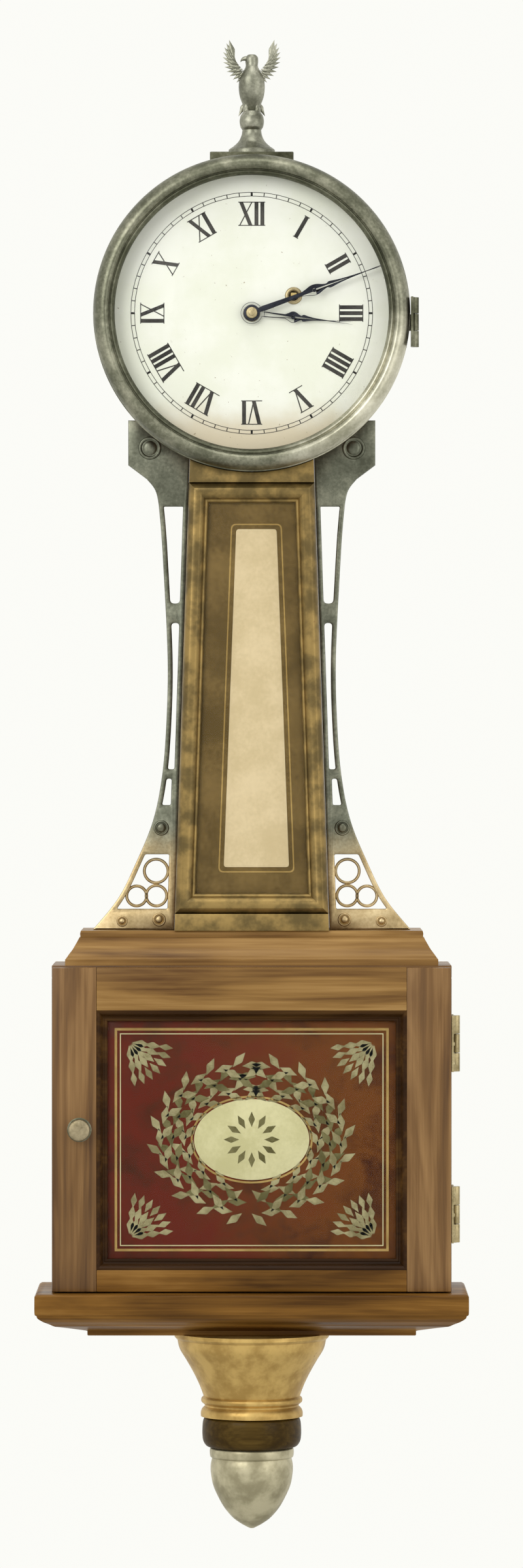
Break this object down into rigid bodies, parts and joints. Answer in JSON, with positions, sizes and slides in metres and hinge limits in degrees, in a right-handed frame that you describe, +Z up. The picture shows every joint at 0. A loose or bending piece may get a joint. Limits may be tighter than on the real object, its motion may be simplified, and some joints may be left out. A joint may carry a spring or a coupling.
{
  "type": "banjo clock",
  "caption": "Wall timepiece with a round glazed dial, waisted throat with pierced side arms, hinged box door with painted glass, pendulum and weight drive.",
  "frame": {"origin": "on the backboard's rear face, the wall plane, behind the centre of the dial", "axes": "+Y into the wall, so the dial faces -Y; +Z up; +X to the viewer's right"},
  "size_m": [0.278, 0.1028, 0.966],
  "materials": {
    "mahogany": "satin shellac over mahogany",
    "pine": "unfinished pine",
    "gold_wood": "worn gilding on the half-round stiles",
    "gilt": "water gilding on turned wood",
    "dark_wood": "dark shellac",
    "acorn_wood": "aged bronze gilding",
    "dark_brass": "brass darkened with age",
    "brass": "dull aged brass",
    "movement_brass": "satin clock brass",
    "steel": "polished steel",
    "blued_steel": "blued steel",
    "iron": "plain cast iron",
    "dial_paint": "off-white painted iron",
    "tin": "dull tinplate",
    "clear_glass": "clear convex glass",
    "throat_glass": "glass painted cream from behind",
    "tablet_glass": "glass painted from behind",
    "gut": "twisted gut"
  },
  "bodies": {
    "case": {"backboard": "pine", "hanger_plate": "iron", "head_ring": "mahogany", "throat_side_left": "mahogany", "throat_side_right": "mahogany", "throat_frame": "gold_wood", "throat_glass": "throat_glass", "side_arm_left": "brass", "side_arm_right": "brass", "cap_moulding": "mahogany", "box_top": "pine", "box_side_left": "mahogany", "box_side_right": "mahogany", "box_bottom": "pine", "base_moulding": "mahogany", "bracket_cup": "gilt", "pendant_collar": "dark_wood", "pendant_acorn": "acorn_wood", "finial_plinth": "dark_brass", "eagle_finial": "brass", "bezel_hinge_case_leaf": "dark_brass", "bezel_hinge_pin": "steel", "door_hinge_case_leaf_upper": "brass", "door_hinge_case_leaf_lower": "brass", "door_hinge_pin_upper": "steel", "door_hinge_pin_lower": "steel", "dial": "dial_paint", "back_plate": "movement_brass", "front_plate": "movement_brass", "suspension_cock": "movement_brass", "weight_baffle": "tin", "gut_line": "gut"},
    "bezel": {"bezel": "dark_brass", "bezel_glass": "clear_glass", "bezel_hinge_leaf": "dark_brass"},
    "door": {"door_frame": "mahogany", "door_tablet": "tablet_glass", "door_hinge_leaf_upper": "brass", "door_hinge_leaf_lower": "brass"},
    "latch": {"door_latch": "dark_brass"},
    "escape": {"escape_wheel": "movement_brass"},
    "third": {"third_wheel": "movement_brass"},
    "centre": {"centre_wheel": "movement_brass"},
    "great": {"great_wheel": "movement_brass"},
    "click": {"click": "steel"},
    "drum": {"winding_drum": "movement_brass"},
    "minute": {"cannon_pinion": "movement_brass", "minute_hand": "blued_steel", "hand_nut": "blued_steel"},
    "motion_wheel": {"minute_wheel": "movement_brass"},
    "hour": {"hour_wheel": "movement_brass", "hour_hand": "blued_steel"},
    "pendulum": {"suspension_spring": "steel", "pendulum_rod": "steel"},
    "bob": {"pendulum_bob": "brass"},
    "nut": {"rating_nut": "brass"},
    "pallets": {"pallet_anchor": "steel"},
    "weight": {"weight": "iron", "pulley_stirrup": "movement_brass"},
    "pulley": {"pulley": "movement_brass"}
  },
  "joints": [
    {"name": "bezel_swing", "type": "hinge", "parent": "case", "child": "bezel", "pos_m": [0.105, -0.07, -0.006], "axis": [0, 0, 1], "range_deg": [0, 110]},
    {"name": "door_swing", "type": "hinge", "parent": "case", "child": "door", "pos_m": [0.1314, -0.08015, -0.525], "axis": [0, 0, 1], "range_deg": [0, 110]},
    {"name": "latch_turn", "type": "hinge", "parent": "door", "child": "latch", "pos_m": [-0.1105, -0.09, -0.525], "axis": [0, 1, 0], "range_deg": [0, 90]},
    {"name": "escape_turn", "type": "hinge", "parent": "case", "child": "escape", "pos_m": [0, -0.03, 0.036], "axis": [0, 1, 0], "continuous": true},
    {"name": "third_turn", "type": "hinge", "parent": "case", "child": "third", "pos_m": [-0.00853, -0.03, 0.01919], "axis": [0, 1, 0], "continuous": true},
    {"name": "centre_turn", "type": "hinge", "parent": "case", "child": "centre", "pos_m": [0, -0.03, 0], "axis": [0, 1, 0], "continuous": true},
    {"name": "great_turn", "type": "hinge", "parent": "case", "child": "great", "pos_m": [0.027, -0.03, 0.01124], "axis": [0, 1, 0], "continuous": true},
    {"name": "click_lift", "type": "hinge", "parent": "great", "child": "click", "pos_m": [0.0185, -0.0184, -0.00348], "axis": [0, -1, 0], "range_deg": [0, 12], "stiffness_Nm_per_rad": 0.003, "springref_deg": -20.05},
    {"name": "weight_rise", "type": "slide", "parent": "case", "child": "weight", "axis": [0, 0, 1], "range_m": [0, 0.3669], "deforming": ["gut_line"]},
    {"name": "winding", "type": "hinge", "parent": "great", "child": "drum", "pos_m": [0.027, -0.03, 0.01124], "axis": [0, 1, 0], "range_deg": [0, 5760]},
    {"name": "pulley_spin", "type": "hinge", "parent": "weight", "child": "pulley", "pos_m": [0, -0.02897, -0.472], "axis": [0, 1, 0], "range_deg": [-1080, 0]},
    {"name": "hands_turn", "type": "hinge", "parent": "case", "child": "minute", "pos_m": [0, -0.03, 0], "axis": [0, 1, 0], "continuous": true},
    {"name": "motion_wheel_turn", "type": "hinge", "parent": "case", "child": "motion_wheel", "pos_m": [-0.01018, -0.049, -0.01018], "axis": [0, 1, 0], "continuous": true},
    {"name": "hour_turn", "type": "hinge", "parent": "case", "child": "hour", "pos_m": [0, -0.03, 0], "axis": [0, 1, 0], "continuous": true},
    {"name": "pendulum_swing", "type": "hinge", "parent": "case", "child": "pendulum", "pos_m": [0, -0.055, 0.0553], "axis": [0, 1, 0], "range_deg": [-3, 3]},
    {"name": "pallet_rock", "type": "hinge", "parent": "case", "child": "pallets", "pos_m": [0, -0.055, 0.0553], "axis": [0, 1, 0], "range_deg": [-3, 3]},
    {"name": "nut_turn", "type": "hinge", "parent": "bob", "child": "nut", "pos_m": [0, -0.055, -0.5795], "axis": [0, 0, 1], "range_deg": [-1800, 1800]},
    {"name": "rating", "type": "slide", "parent": "pendulum", "child": "bob", "axis": [0, 0, 1], "range_m": [-0.004, 0.004]}
  ],
  "couplings": [
    {"joint": "third_turn", "follows": "escape_turn", "ratio": -0.11538},
    {"joint": "centre_turn", "follows": "escape_turn", "ratio": 0.012821},
    {"joint": "great_turn", "follows": "escape_turn", "ratio": -0.0010684},
    {"joint": "motion_wheel_turn", "follows": "hands_turn", "ratio": -0.33333},
    {"joint": "hour_turn", "follows": "hands_turn", "ratio": 0.083333},
    {"joint": "winding", "follows": "weight_rise", "rad_per_m": 273.97},
    {"joint": "pulley_spin", "follows": "weight_rise", "rad_per_m": -50.751},
    {"joint": "pallet_rock", "follows": "pendulum_swing", "ratio": 1},
    {"joint": "nut_turn", "follows": "rating", "rad_per_m": 7854}
  ]
}
